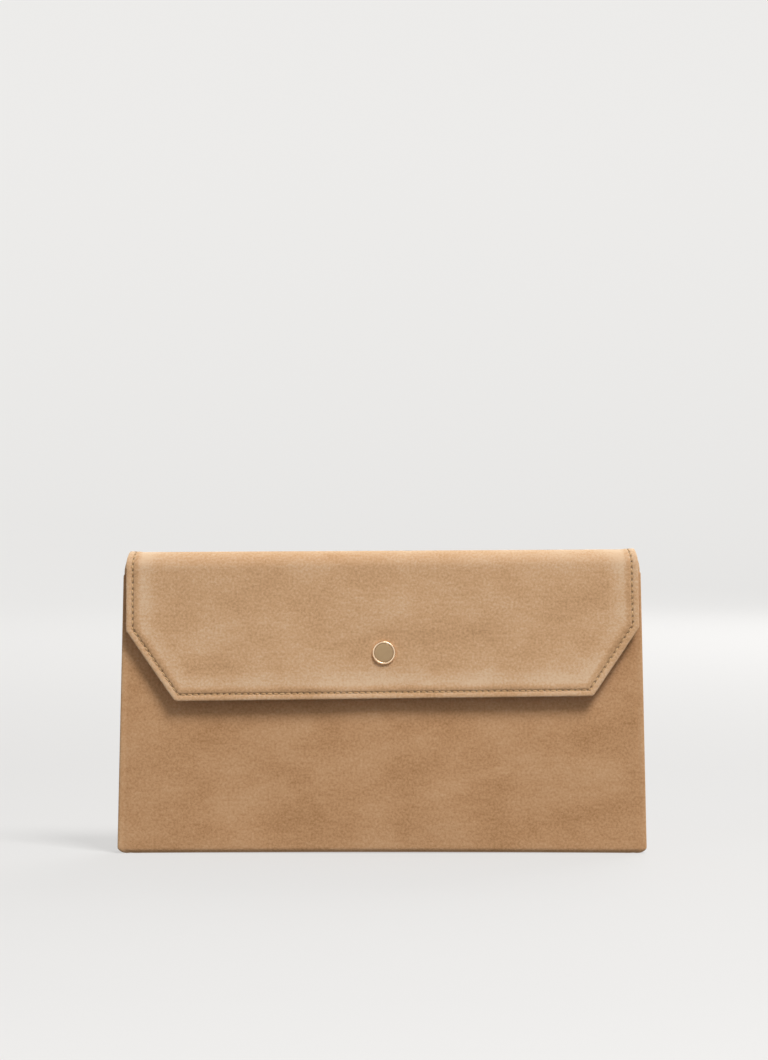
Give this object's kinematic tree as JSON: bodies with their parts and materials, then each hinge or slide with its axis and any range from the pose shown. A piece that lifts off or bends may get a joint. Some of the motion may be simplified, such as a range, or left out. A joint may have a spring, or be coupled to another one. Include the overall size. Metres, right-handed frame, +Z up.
{
  "type": "wristlet wallet",
  "caption": "Slim suede envelope clutch wallet with a turned-edge front flap, chamfered corners, side gussets, a slip pocket and a capped magnetic snap.",
  "frame": {"origin": "centre of the underside of the base, on the surface that it stands on", "axes": "+X across the width, to the right seen from the front; +Y towards the back; +Z up"},
  "size_m": [0.28, 0.0198, 0.1603],
  "materials": {
    "suede": "tan suede, short soft nap",
    "facing": "thin tan suede facing",
    "lining": "beige plain-weave textile",
    "board": "grey-beige pressed board",
    "thread": "golden tan spun thread",
    "gilt": "polished pale gold plating",
    "gilt_brushed": "fine-brushed pale gold plating",
    "magnet": "dark ferrite ring magnet",
    "steel": "nickel-plated pressed steel"
  },
  "bodies": {
    "back": {"base_panel": "suede", "base_board": "board", "base_lining": "lining", "back_panel": "suede", "back_board": "board", "back_lining": "lining", "back_facing": "facing", "back_fold_stitching": "thread", "slip_pocket": "lining", "slip_pocket_binding": "facing", "slip_pocket_stitching": "thread", "gusset_left": "suede", "gusset_right": "suede", "gusset_lining_left": "lining", "gusset_lining_right": "lining"},
    "front": {"front_panel": "suede", "front_board": "board", "front_lining": "lining", "front_stitching": "thread", "socket_cover": "gilt", "socket_magnet": "magnet", "socket_base": "steel", "socket_washer": "steel"},
    "fold": {"fold_panel": "suede", "fold_facing": "facing", "fold_stitching": "thread"},
    "flap": {"flap_panel": "suede", "flap_board": "board", "flap_facing": "facing", "flap_stitching": "thread", "flap_underside_stitching": "thread", "snap_cap": "gilt", "snap_cap_disc": "gilt_brushed", "snap_stud": "gilt", "snap_nipple": "gilt"}
  },
  "joints": [
    {"name": "back_fold", "type": "hinge", "parent": "back", "child": "fold", "pos_m": [0, 0.00504, 0.15754], "axis": [-1, 0, 0], "range_deg": [0, 90]},
    {"name": "front_fold", "type": "hinge", "parent": "fold", "child": "flap", "pos_m": [0, -0.00671, 0.15769], "axis": [-1, 0, 0], "range_deg": [0, 90]},
    {"name": "mouth_open", "type": "hinge", "parent": "back", "child": "front", "pos_m": [0, -0.007, 0.001], "axis": [1, 0, 0], "range_deg": [0, 9], "deforming": ["gusset_left", "gusset_right", "gusset_lining_left", "gusset_lining_right"]}
  ],
  "couplings": [
    {"joint": "front_fold", "follows": "back_fold", "ratio": 1},
    {"joint": "mouth_open", "follows": "back_fold", "ratio": 0.1}
  ]
}
